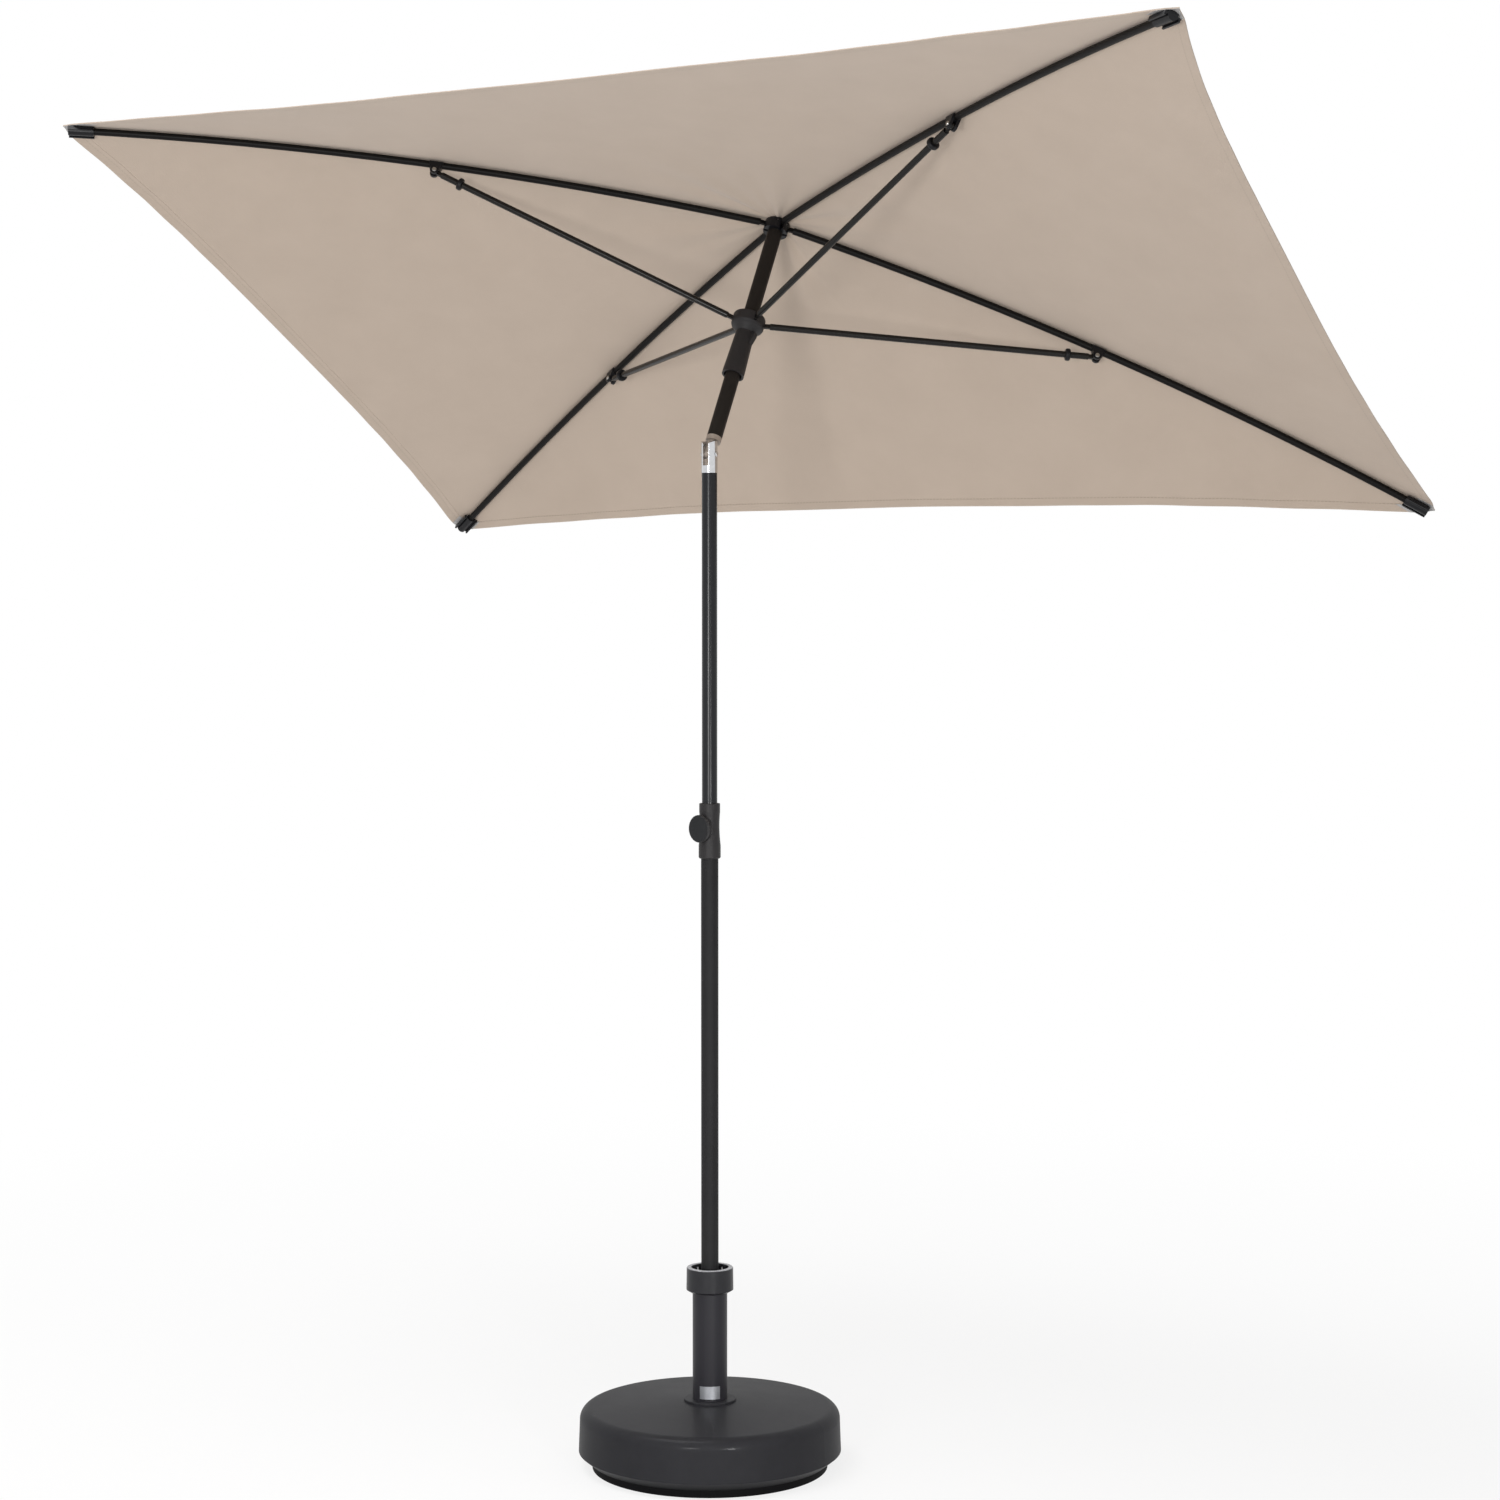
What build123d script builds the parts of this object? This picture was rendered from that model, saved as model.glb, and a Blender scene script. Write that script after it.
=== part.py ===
# Patio umbrella with base: a rectangular tilting canopy on a telescopic mast in a round weighted base.
# Millimetres. +Z is up, the origin is the centre of the base's underside, +X runs along the canopy's
# long side, and the canopy leans towards +Y about a hinge whose axis is parallel to X.
import os
from math import atan2, cos, degrees, hypot, radians, sin

from build123d import *

os.makedirs("parts", exist_ok=True)

# Base
base_diameter = 455
base_rim_height = 104
base_crown_height = 114
base_rim_fillet = 20
base_side_draft = 2
base_bevel = 18.5
base_widest_height = 29
casing_wall = 3
plate_diameter = 408
plate_show = 14
plate_thickness = 17
tube_diameter = 60
tube_wall = 3
tube_bottom = 34
tube_top = 330
foot_ring_diameter = 90
foot_ring_height = 4
label_width = 36
label_height = 22
label_thickness = 0.8

# Clamp collar at the top of the base tube
collar_diameter = 80.5
collar_flare = 1
collar_top = 347
collar_bottom = 304
collar_recess_diameter = 65
collar_gap = 0.4

# Mast
lower_mast_diameter = 30
lower_mast_wall = 1.2
lower_mast_bottom = 44
upper_mast_diameter = 26.5
upper_mast_wall = 1.2
upper_mast_bottom = 720
sliding_gap = 0.4
running_gap = 0.05
plug_height = 6
plug_spigot = 26

# Height clamp
sleeve_below_knob = 52
sleeve_above_knob = 43
sleeve_diameter = 38
sleeve_waist_diameter = 34
sleeve_seat = 34
knob_height = 1108
knob_diameter = 47.5
knob_back = 19.9
knob_face = 28.5
knob_direction = (-0.25, -0.968, 0)
knob_screw_diameter = 8
sleeve_nut_width = 13
sleeve_nut_thickness = 6

# Tilt joint
hinge_height = 1750
tilt_degrees = 29.5
tilt_sleeve_diameter = 27.8
tilt_sleeve_bottom = 1717.5
tilt_cheek_radius = 22
tilt_slot_width = 11
tilt_slot_depth = 20
tilt_pin_diameter = 6
tilt_pin_head_diameter = 9
knuckle_side_gap = 0.3
knuckle_tongue_width = 16
knuckle_shoulder_bottom = 24.5
knuckle_shoulder_top = 33
spigot_length = 36
button_diameter = 6
button_height = 13
button_travel = 2.5

# Canopy frame, measured from the hinge along the canopy pole
canopy_length = 2100
canopy_width = 1372
hub_height = 475
hub_diameter = 44
hub_below = 14
hub_above = 5.2
hub_slot_top = 4.4
hub_pivot_radius = 18.5
rib_diameter = 12.2
rib_wall = 1
rib_blade_radius = 4
rib_blade_height = 7.4
rib_reach = 1230
rib_mid_reach = 606
rib_mid_drop = 68.5
rib_end_drop = 201.3
rib_pivot_drop = 14
blade_thickness = 5
blade_gap = 0.5
pivot_pin_diameter = 3.2
rivet_diameter = 4.4
open_pivot_gap = 1.2
runner_height = 270
runner_pivot_radius = 24
runner_ring_diameter = 58
runner_ring_above = 11
runner_ring_below = 14
runner_sleeve_top_diameter = 33
runner_neck = 9
runner_sleeve_bottom_diameter = 39
runner_sleeve_length = 110
runner_bore_gap = 1.2
latch_width = 10
latch_top = 24
latch_length = 22
latch_reach = 6
latch_travel = 1.2
stretcher_diameter = 11.3
stretcher_wall = 1
stretcher_blade_height = 7.3
stretcher_end_radius = 5.5
ring_diameter = 22
ring_thickness = 9
ring_from_rivet = 52
cap_length = 44
cap_width = 28
cap_lip = 7
cap_overhang = 3
cap_wall = 3

# Canopy fabric
fabric_thickness = 1.6
fabric_lift = 8.5
long_edge_bow = 38
short_edge_bow = 30
crown_hole_diameter = 14
top_cap_diameter = 60
top_cap_height = 15

tube_radius = tube_diameter / 2
lower_radius = lower_mast_diameter / 2
lower_bore = lower_radius - lower_mast_wall
upper_radius = upper_mast_diameter / 2
upper_bore = upper_radius - upper_mast_wall
pin_radius = pivot_pin_diameter / 2
rib_radius = rib_diameter / 2

# The canopy pole's own frame: Z along the leaning pole, origin on the hinge axis
lean = (0, sin(radians(tilt_degrees)), cos(radians(tilt_degrees)))
head = Plane(origin=(0, 0, hinge_height), x_dir=(1, 0, 0), z_dir=lean)
pole_axis = Axis(head.origin, head.z_dir)
mast_side = Plane.XZ


def save(part, name):
    part.label = name
    export_step(part, "parts/" + name + ".step")


def head_point(x, y, z):
    return head.from_local_coords(Vector(x, y, z))


# Base: the black plate that stands on the floor
with BuildPart() as base_plate:
    with BuildSketch(Plane.XY):
        Circle(plate_diameter / 2)
    extrude(amount=plate_thickness)
save(base_plate.part, "base_plate")

# Base: the plastic casing, a thin shell over the weight
widest = base_diameter / 2
side_top = widest - base_side_draft
rim_inner = side_top - base_rim_fillet
rim_low = base_rim_height - base_rim_fillet
crown_flat = foot_ring_diameter / 2 + 1
inner_fillet = base_rim_fillet - casing_wall
corner = sin(radians(45))
with BuildPart() as base_casing:
    with BuildSketch(mast_side):
        with BuildLine():
            outer = Polyline(
                (tube_radius, base_crown_height),
                (crown_flat, base_crown_height),
                (rim_inner, base_rim_height),
            )
            rim = ThreePointArc(
                outer @ 1,
                (rim_inner + base_rim_fillet * corner, rim_low + base_rim_fillet * corner),
                (side_top, rim_low),
            )
            low = Polyline(
                rim @ 1,
                (widest, base_widest_height),
                (widest - base_bevel, plate_show),
                (plate_diameter / 2, plate_show),
                (plate_diameter / 2, plate_thickness),
                (widest - base_bevel - casing_wall / 2, plate_thickness),
                (widest - casing_wall, base_widest_height + 1),
                (side_top - casing_wall, rim_low),
            )
            inner = ThreePointArc(
                low @ 1,
                (rim_inner + inner_fillet * corner, rim_low + inner_fillet * corner),
                (rim_inner, base_rim_height - casing_wall),
            )
            Polyline(
                inner @ 1,
                (crown_flat, base_crown_height - casing_wall),
                (tube_radius, base_crown_height - casing_wall),
                (tube_radius, base_crown_height),
            )
        make_face()
    revolve(axis=Axis.Z)
save(base_casing.part, "base_casing")

# Base: the concrete weight inside the casing
with BuildPart() as base_core:
    with BuildSketch(mast_side):
        with BuildLine():
            side = Polyline(
                (0, plate_thickness),
                (widest - base_bevel - casing_wall / 2, plate_thickness),
                (widest - casing_wall, base_widest_height + 1),
                (side_top - casing_wall, rim_low),
            )
            top = ThreePointArc(
                side @ 1,
                (rim_inner + inner_fillet * corner, rim_low + inner_fillet * corner),
                (rim_inner, base_rim_height - casing_wall),
            )
            Polyline(
                top @ 1,
                (crown_flat, base_crown_height - casing_wall),
                (tube_radius, base_crown_height - casing_wall),
                (tube_radius, tube_bottom),
                (0, tube_bottom),
                (0, plate_thickness),
            )
        make_face()
    revolve(axis=Axis.Z)
save(base_core.part, "base_core")

# Base: the upright tube that is cast into the weight
with BuildPart() as base_tube:
    with BuildSketch(Plane.XY.offset(tube_bottom)):
        Circle(tube_radius)
        Circle(tube_radius - tube_wall, mode=Mode.SUBTRACT)
    extrude(amount=tube_top - tube_bottom)
save(base_tube.part, "base_tube")

# Base: the low ring around the tube's foot
with BuildPart() as foot_ring:
    with BuildSketch(Plane.XY.offset(base_crown_height)):
        Circle(foot_ring_diameter / 2)
        Circle(tube_radius, mode=Mode.SUBTRACT)
    extrude(amount=foot_ring_height)
    fillet(foot_ring.edges().filter_by(GeomType.CIRCLE).sort_by(SortBy.RADIUS)[-2:].sort_by(Axis.Z)[-1], 1.5)
save(foot_ring.part, "foot_ring")

# Base: the bare metal plate low on the tube's front
label_bottom = base_crown_height + foot_ring_height + 4
label_half_angle = degrees(label_width / tube_radius) / 2
label_heading = -59.5
with BuildPart() as blank_plate:
    with BuildSketch(Plane.XY.offset(label_bottom)):
        with BuildLine():
            face_arc = CenterArc(
                (0, 0), tube_radius + label_thickness, label_heading - label_half_angle, 2 * label_half_angle
            )
            back_arc = CenterArc(
                (0, 0), tube_radius, label_heading - label_half_angle, 2 * label_half_angle
            )
            Line(face_arc @ 0, back_arc @ 0)
            Line(face_arc @ 1, back_arc @ 1)
        make_face()
    extrude(amount=label_height)
save(blank_plate.part, "blank_plate")

# Base: the plastic reducer that centres the mast in the tube, with two upright webs on its flange
reducer_bore = lower_radius + sliding_gap
reducer_flange = collar_recess_diameter / 2 - 0.7
reducer_depth = 70
web_offset = 21
web_height = 8
with BuildPart() as pole_reducer:
    with BuildSketch(Plane.XY.offset(tube_top)):
        Circle(reducer_flange)
        Circle(reducer_bore, mode=Mode.SUBTRACT)
    extrude(amount=4)
    with BuildSketch(Plane.XY.offset(tube_top)):
        Circle(tube_radius - tube_wall)
        Circle(tube_radius - tube_wall - 3, mode=Mode.SUBTRACT)
        Circle(reducer_bore + 3)
        Circle(reducer_bore, mode=Mode.SUBTRACT)
    extrude(amount=-reducer_depth)
    with BuildSketch(Plane.XY.offset(tube_top + 4)):
        with Locations(Rotation(0, 0, 30.5)):
            with Locations((-web_offset, 0), (web_offset, 0)):
                Rectangle(2, 2 * (reducer_flange**2 - web_offset**2) ** 0.5 - 5)
    extrude(amount=web_height)
save(pole_reducer.part, "pole_reducer")

# Clamp collar: the ring nut that is turned to tighten the reducer on the mast
collar_radius = collar_diameter / 2
with BuildPart() as clamp_collar:
    with BuildSketch(mast_side):
        Polygon(
            (tube_radius + collar_gap, collar_bottom),
            (collar_radius - 6, collar_bottom),
            (collar_radius + collar_flare / 2, collar_bottom + 4),
            (collar_radius, collar_top - 1.5),
            (collar_radius - 1.5, collar_top),
            (collar_recess_diameter / 2, collar_top),
            (collar_recess_diameter / 2, tube_top - 1),
            (tube_radius + collar_gap, tube_top - 1),
            align=None,
        )
    revolve(axis=Axis.Z)
save(clamp_collar.part, "clamp_collar")

# Lower mast: the outer steel tube
sleeve_bottom = knob_height - sleeve_below_knob
sleeve_top = knob_height + sleeve_above_knob
lower_mast_top = sleeve_bottom + sleeve_seat
with BuildPart() as lower_mast_tube:
    with BuildSketch(Plane.XY.offset(lower_mast_bottom)):
        Circle(lower_radius)
        Circle(lower_bore, mode=Mode.SUBTRACT)
    extrude(amount=lower_mast_top - lower_mast_bottom)
save(lower_mast_tube.part, "lower_mast_tube")

# Lower mast: the plastic plug at its foot
with BuildPart() as mast_foot_plug:
    with BuildSketch(Plane.XY.offset(lower_mast_bottom - plug_height)):
        Circle(lower_radius)
    extrude(amount=plug_height)
    with BuildSketch(Plane.XY.offset(lower_mast_bottom)):
        Circle(lower_bore)
    extrude(amount=plug_spigot)
save(mast_foot_plug.part, "mast_foot_plug")

# Height clamp: the moulded sleeve on top of the lower mast, with a boss for the knob
knob_plane = Plane(origin=(0, 0, knob_height), x_dir=(0, 0, 1), z_dir=knob_direction)
sleeve_radius = sleeve_diameter / 2
waist_radius = sleeve_waist_diameter / 2
boss_front = knob_back - 0.5
nut_back = upper_radius + sliding_gap + 0.6
with BuildPart() as height_sleeve:
    with BuildSketch(mast_side):
        with BuildLine():
            foot = Polyline(
                (lower_radius, lower_mast_top),
                (lower_radius, sleeve_bottom),
                (sleeve_radius - 1.5, sleeve_bottom),
                (sleeve_radius, sleeve_bottom + 2),
                (sleeve_radius, sleeve_bottom + 22),
            )
            flank = ThreePointArc(
                foot @ 1, (waist_radius, knob_height - 4), (sleeve_radius - 1, sleeve_top - 14)
            )
            Polyline(
                flank @ 1,
                (sleeve_radius - 1, sleeve_top - 1),
                (sleeve_radius - 2, sleeve_top),
                (upper_radius + sliding_gap, sleeve_top),
                (upper_radius + sliding_gap, lower_mast_top),
                (lower_radius, lower_mast_top),
            )
        make_face()
    revolve(axis=Axis.Z)
    with BuildSketch(knob_plane.offset(upper_radius + 2)):
        Circle(11)
    extrude(amount=boss_front - upper_radius - 2)
    with BuildSketch(knob_plane.offset(upper_radius - 3)):
        Circle(knob_screw_diameter / 2 + running_gap)
    extrude(amount=boss_front, mode=Mode.SUBTRACT)
    with BuildSketch(knob_plane.offset(nut_back)):
        RegularPolygon(sleeve_nut_width / 2, 6, major_radius=False)
    extrude(amount=boss_front - nut_back, mode=Mode.SUBTRACT)
save(height_sleeve.part, "height_sleeve")

# Height clamp: the hex nut pressed into the boss
with BuildPart() as sleeve_nut:
    with BuildSketch(knob_plane.offset(nut_back)):
        RegularPolygon(sleeve_nut_width / 2, 6, major_radius=False)
        Circle(knob_screw_diameter / 2 + running_gap, mode=Mode.SUBTRACT)
    extrude(amount=boss_front - nut_back)
save(sleeve_nut.part, "sleeve_nut")

# Height knob: the round hand knob and its clamping screw
knob_side = Plane(origin=(0, 0, knob_height), x_dir=(0, 0, 1), z_dir=(knob_direction[1], -knob_direction[0], 0))
knob_axis = Axis((0, 0, knob_height), knob_direction)
knob_radius = knob_diameter / 2
with BuildPart() as height_knob:
    with BuildSketch(knob_plane.offset(knob_back)):
        Circle(knob_radius)
    extrude(amount=knob_face - knob_back)
    fillet(height_knob.edges().sort_by(knob_axis)[-1:], 2.5)
    chamfer(height_knob.edges().sort_by(knob_axis)[:1], 3, 6)
    with BuildSketch(knob_plane.offset(knob_back)):
        Circle(knob_screw_diameter / 2)
    extrude(amount=5, mode=Mode.SUBTRACT)
save(height_knob.part, "height_knob")

with BuildPart() as knob_screw:
    with BuildSketch(knob_plane.offset(upper_radius + 0.3)):
        Circle(knob_screw_diameter / 2)
    extrude(amount=knob_back + 5 - upper_radius - 0.3)
save(knob_screw.part, "knob_screw")

# Upper mast: the inner steel tube that slides in the lower mast
with BuildPart() as upper_mast_tube:
    with BuildSketch(Plane.XY.offset(upper_mast_bottom)):
        Circle(upper_radius)
        Circle(upper_bore, mode=Mode.SUBTRACT)
    extrude(amount=tilt_sleeve_bottom - upper_mast_bottom)
save(upper_mast_tube.part, "upper_mast_tube")

# Upper mast: the plastic bush that guides its lower end
with BuildPart() as guide_bush:
    with BuildSketch(Plane.XY.offset(upper_mast_bottom - 20)):
        Circle(upper_radius + 0.15)
    extrude(amount=20)
    with BuildSketch(Plane.XY.offset(upper_mast_bottom)):
        Circle(upper_bore)
    extrude(amount=20)
save(guide_bush.part, "guide_bush")

# Tilt joint: the bright sleeve with its slot, fixed on the upper mast
tilt_side = Plane(origin=(0, 0, hinge_height), x_dir=(0, 1, 0), z_dir=(1, 0, 0))
tilt_sleeve_radius = tilt_sleeve_diameter / 2
with BuildPart() as tilt_sleeve:
    with BuildSketch(Plane.XY.offset(tilt_sleeve_bottom)):
        Circle(tilt_sleeve_radius)
    extrude(amount=hinge_height + tilt_cheek_radius - tilt_sleeve_bottom)
    with BuildSketch(tilt_side):
        Circle(tilt_cheek_radius)
        with Locations((0, tilt_sleeve_bottom - hinge_height)):
            Rectangle(4 * tilt_sleeve_radius, 2 * (hinge_height - tilt_sleeve_bottom))
    extrude(amount=tilt_sleeve_radius + 1, both=True, mode=Mode.INTERSECT)
    with BuildSketch(Plane.XY.offset(tilt_sleeve_bottom)):
        Circle(upper_bore)
    extrude(amount=-spigot_length)
    with BuildSketch(Plane.XY.offset(hinge_height - tilt_slot_depth)):
        Rectangle(tilt_slot_width, 3 * tilt_sleeve_radius)
    extrude(amount=tilt_slot_depth + 2 * tilt_cheek_radius, mode=Mode.SUBTRACT)
    with BuildSketch(tilt_side):
        Circle(tilt_pin_diameter / 2)
    extrude(amount=tilt_sleeve_radius + 1, both=True, mode=Mode.SUBTRACT)
save(tilt_sleeve.part, "tilt_sleeve")

# Tilt joint: the hinge pin, with a domed head on each side
with BuildPart() as tilt_pin:
    with BuildSketch(tilt_side):
        Circle(tilt_pin_diameter / 2)
    extrude(amount=tilt_sleeve_radius, both=True)
    for way in (1, -1):
        with BuildSketch(tilt_side.offset(way * tilt_sleeve_radius)):
            Circle(tilt_pin_head_diameter / 2)
        extrude(amount=way * 1.6, taper=35)
save(tilt_pin.part, "tilt_pin")

# Tilt joint: the bare metal knuckle that carries the canopy pole
head_side = Plane(origin=head.origin, x_dir=head.y_dir, z_dir=(1, 0, 0))
tongue_thickness = tilt_slot_width - 2 * knuckle_side_gap
tongue_half = knuckle_tongue_width / 2
button_plane = Plane(origin=head_point(0, 0, button_height), x_dir=(1, 0, 0), z_dir=head.y_dir * -1)
with BuildPart() as tilt_knuckle:
    with BuildSketch(head_side):
        Circle(tongue_half)
        with Locations((0, knuckle_shoulder_bottom / 2)):
            Rectangle(knuckle_tongue_width, knuckle_shoulder_bottom)
    extrude(amount=tongue_thickness / 2, both=True)
    with BuildSketch(head.offset(knuckle_shoulder_bottom)):
        Circle(upper_radius)
    extrude(amount=knuckle_shoulder_top - knuckle_shoulder_bottom)
    with BuildSketch(head.offset(knuckle_shoulder_top)):
        Circle(upper_bore)
    extrude(amount=spigot_length)
    with BuildSketch(head_side):
        Circle(tilt_pin_diameter / 2 + running_gap)
    extrude(amount=tongue_thickness, both=True, mode=Mode.SUBTRACT)
    with BuildSketch(button_plane.offset(-1)):
        Circle(button_diameter / 2 + running_gap)
    extrude(amount=tongue_half + 2, mode=Mode.SUBTRACT)
save(tilt_knuckle.part, "tilt_knuckle")

# Tilt joint: the press button in the knuckle's front
with BuildPart() as tilt_button:
    with BuildSketch(button_plane.offset(button_travel)):
        Circle(button_diameter / 2)
    extrude(amount=tongue_half)
    fillet(tilt_button.edges().sort_by(Axis(button_plane.origin, button_plane.z_dir))[-1:], 1)
save(tilt_button.part, "tilt_button")

# Canopy pole: the leaning tube that carries the frame
pole_top = hub_height + 2
with BuildPart() as canopy_pole:
    with BuildSketch(head.offset(knuckle_shoulder_top)):
        Circle(upper_radius)
        Circle(upper_bore, mode=Mode.SUBTRACT)
    extrude(amount=pole_top - knuckle_shoulder_top)
save(canopy_pole.part, "canopy_pole")

# The four ribs run to the canopy's corners: a left near, b right near, c right far, d left far
rib_angle = atan2(canopy_width, canopy_length)
corners = {"a": (-1, -1), "b": (1, -1), "c": (1, 1), "d": (-1, 1)}
rib_planes = {}
slot_angles = {}
for corner_name, (side_x, side_y) in corners.items():
    outward = head.x_dir * (side_x * cos(rib_angle)) + head.y_dir * (side_y * sin(rib_angle))
    rib_planes[corner_name] = Plane(
        origin=head_point(0, 0, hub_height), x_dir=outward, z_dir=outward.cross(head.z_dir)
    )
    slot_angles[corner_name] = degrees(atan2(side_y * sin(rib_angle), side_x * cos(rib_angle)))
slot_width = blade_thickness + 2 * blade_gap

# Hub: the slotted crown on top of the canopy pole
with BuildPart() as hub:
    with BuildSketch(head.offset(hub_height - hub_below)):
        Circle(hub_diameter / 2)
    extrude(amount=hub_below + hub_above)
    with BuildSketch(head.offset(hub_height - hub_below)):
        Circle(upper_radius)
    extrude(amount=hub_below + pole_top - hub_height, mode=Mode.SUBTRACT)
    with BuildSketch(head.offset(hub_height + hub_above)):
        Circle(crown_hole_diameter / 2 - 1)
    extrude(amount=-4, mode=Mode.SUBTRACT)
    for corner_name in corners:
        with BuildSketch(head.offset(hub_height - hub_below)):
            with Locations(Rotation(0, 0, slot_angles[corner_name])):
                with Locations((hub_pivot_radius + 6, 0)):
                    Rectangle(22, slot_width)
        extrude(amount=hub_below + hub_slot_top, mode=Mode.SUBTRACT)
        with BuildSketch(rib_planes[corner_name]):
            with Locations((hub_pivot_radius, 0)):
                Circle(pin_radius)
        extrude(amount=10, both=True, mode=Mode.SUBTRACT)
    fillet(hub.edges().filter_by(GeomType.CIRCLE).sort_by(pole_axis)[-1:], 1)
save(hub.part, "hub")

# Hub: the four pins that the ribs turn on
with BuildPart() as hub_pins:
    for corner_name in corners:
        with BuildSketch(rib_planes[corner_name]):
            with Locations((hub_pivot_radius, 0)):
                Circle(pin_radius)
        extrude(amount=10, both=True)
save(hub_pins.part, "hub_pins")

# Runner: the ring and sleeve that slide on the canopy pole
runner_base = head.offset(runner_height - runner_ring_below)
runner_bottom = runner_height - runner_sleeve_length
runner_bore = upper_radius + runner_bore_gap
runner_profile = Plane(origin=head.origin, x_dir=(1, 0, 0), z_dir=head.x_dir.cross(head.z_dir))
latch_gap = 0.4
latch_inner = runner_bore + 0.8
latch_outer = runner_sleeve_top_diameter / 2
latch_high = runner_height - latch_top
latch_low = latch_high - latch_length
with BuildPart() as runner:
    with BuildSketch(runner_profile):
        Polygon(
            (runner_bore, runner_height + runner_ring_above),
            (runner_ring_diameter / 2 - 2.5, runner_height + runner_ring_above),
            (runner_ring_diameter / 2 - 0.7, runner_height + runner_ring_above - 1),
            (runner_ring_diameter / 2, runner_height + runner_ring_above - 3),
            (runner_ring_diameter / 2, runner_height - runner_ring_below + 6),
            (runner_ring_diameter / 2 - 1.5, runner_height - runner_ring_below + 2.5),
            (runner_ring_diameter / 2 - 4.5, runner_height - runner_ring_below),
            (runner_sleeve_top_diameter / 2 + 4, runner_height - runner_ring_below - runner_neck / 2),
            (runner_sleeve_top_diameter / 2, runner_height - runner_ring_below - runner_neck),
            (runner_sleeve_bottom_diameter / 2, runner_bottom + 6),
            (runner_sleeve_bottom_diameter / 2, runner_bottom),
            (runner_bore + 1.5, runner_bottom),
            (runner_bore + 1.5, runner_bottom + 12),
            (runner_bore, runner_bottom + 14),
            align=None,
        )
    revolve(axis=pole_axis)
    for corner_name in corners:
        with BuildSketch(head.offset(runner_height - 7)):
            with Locations(Rotation(0, 0, slot_angles[corner_name])):
                with Locations((runner_pivot_radius + 8, 0)):
                    Rectangle(30, slot_width)
        extrude(amount=7 + runner_ring_above + 1, mode=Mode.SUBTRACT)
        with BuildSketch(rib_planes[corner_name]):
            with Locations((runner_pivot_radius, runner_height - hub_height)):
                Circle(pin_radius)
        extrude(amount=9, both=True, mode=Mode.SUBTRACT)
    with BuildSketch(head.offset(latch_low - latch_gap)):
        with Locations((runner_sleeve_top_diameter / 2, 0)):
            Rectangle(20, latch_width + 2 * latch_gap)
    extrude(amount=latch_length + latch_gap, mode=Mode.SUBTRACT)
save(runner.part, "runner")

# Runner: the four pins that the stretchers turn on
with BuildPart() as runner_pins:
    for corner_name in corners:
        with BuildSketch(rib_planes[corner_name]):
            with Locations((runner_pivot_radius, runner_height - hub_height)):
                Circle(pin_radius)
        extrude(amount=9, both=True)
save(runner_pins.part, "runner_pins")

# Runner: the thumb latch in the sleeve's side
with BuildPart() as runner_latch:
    with BuildSketch(runner_profile):
        Polygon(
            (latch_inner, latch_high - latch_gap),
            (latch_outer + latch_reach, latch_high - latch_gap),
            (latch_outer + latch_reach, latch_high - 6),
            (latch_outer + 1.5, latch_low + 1),
            (latch_outer, latch_low),
            (latch_inner, latch_low),
            align=None,
        )
    extrude(amount=latch_width / 2, both=True)
save(runner_latch.part, "runner_latch")


def rib_path(plane):
    with BuildLine(plane) as line:
        ThreePointArc(
            (hub_pivot_radius + 20, rib_start_drop),
            (rib_mid_reach, -rib_mid_drop),
            (rib_reach, -rib_end_drop),
        )
    return line


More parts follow.
